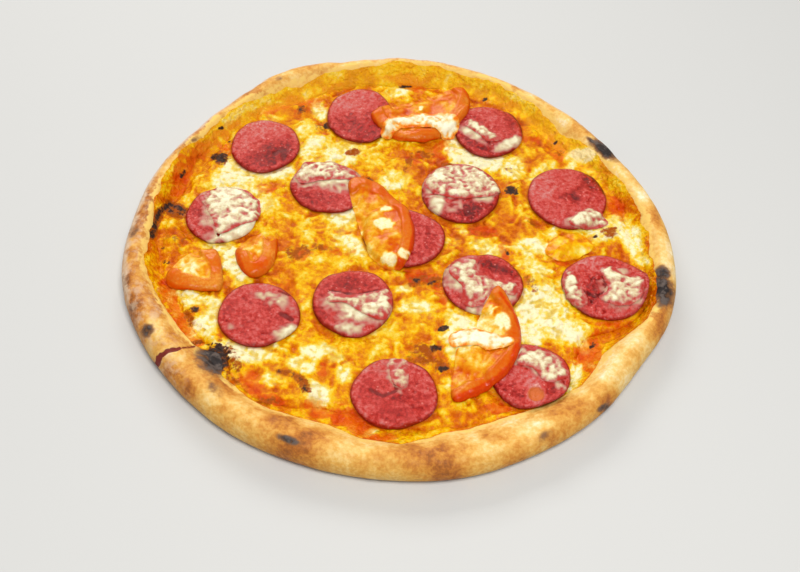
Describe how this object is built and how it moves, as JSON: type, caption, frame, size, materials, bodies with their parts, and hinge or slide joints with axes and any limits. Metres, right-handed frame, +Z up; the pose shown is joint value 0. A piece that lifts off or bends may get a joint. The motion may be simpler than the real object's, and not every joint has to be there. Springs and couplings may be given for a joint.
{
  "type": "whole salami pizza",
  "caption": "Whole round baked pizza with a raised crust, tomato sauce, melted cheese, salami slices and tomato pieces.",
  "frame": {"origin": "on the floor, under the middle of the box around the crust", "axes": "+Z up, +X to the right and +Y away from the viewer as the picture shows it"},
  "size_m": [0.3244, 0.323, 0.0183],
  "materials": {
    "crust": "matt, floury, with browned and charred spots",
    "sauce": "moist tomato sauce",
    "cheese": "melted cheese with orange oil, moist",
    "salami": "fine-grained, oily",
    "tomato": "soft cooked flesh with a glossy skin",
    "white_cheese": "melted white cheese, moist"
  },
  "bodies": {
    "root": {"dough": "crust", "tomato_sauce": "sauce", "melted_cheese": "cheese", "salami_01": "salami", "salami_02": "salami", "salami_03": "salami", "salami_04": "salami", "salami_05": "salami", "salami_06": "salami", "salami_07": "salami", "salami_08": "salami", "salami_09": "salami", "salami_10": "salami", "salami_11": "salami", "salami_12": "salami", "salami_13": "salami", "salami_14": "salami", "tomato_top": "tomato", "tomato_centre": "tomato", "tomato_left": "tomato", "tomato_small": "tomato", "tomato_large": "tomato", "tomato_right": "tomato", "cheese_on_salami_03": "white_cheese", "cheese_on_salami_04": "white_cheese", "cheese_on_salami_05_left": "white_cheese", "cheese_on_salami_05_right": "white_cheese", "cheese_on_salami_06": "white_cheese", "cheese_on_salami_07": "white_cheese", "cheese_on_salami_08": "white_cheese", "cheese_on_salami_11": "white_cheese", "cheese_on_salami_12": "white_cheese", "cheese_on_salami_13": "white_cheese", "cheese_on_salami_14": "white_cheese", "cheese_on_tomato_top": "white_cheese", "cheese_on_tomato_large": "white_cheese"}
  },
  "joints": []
}
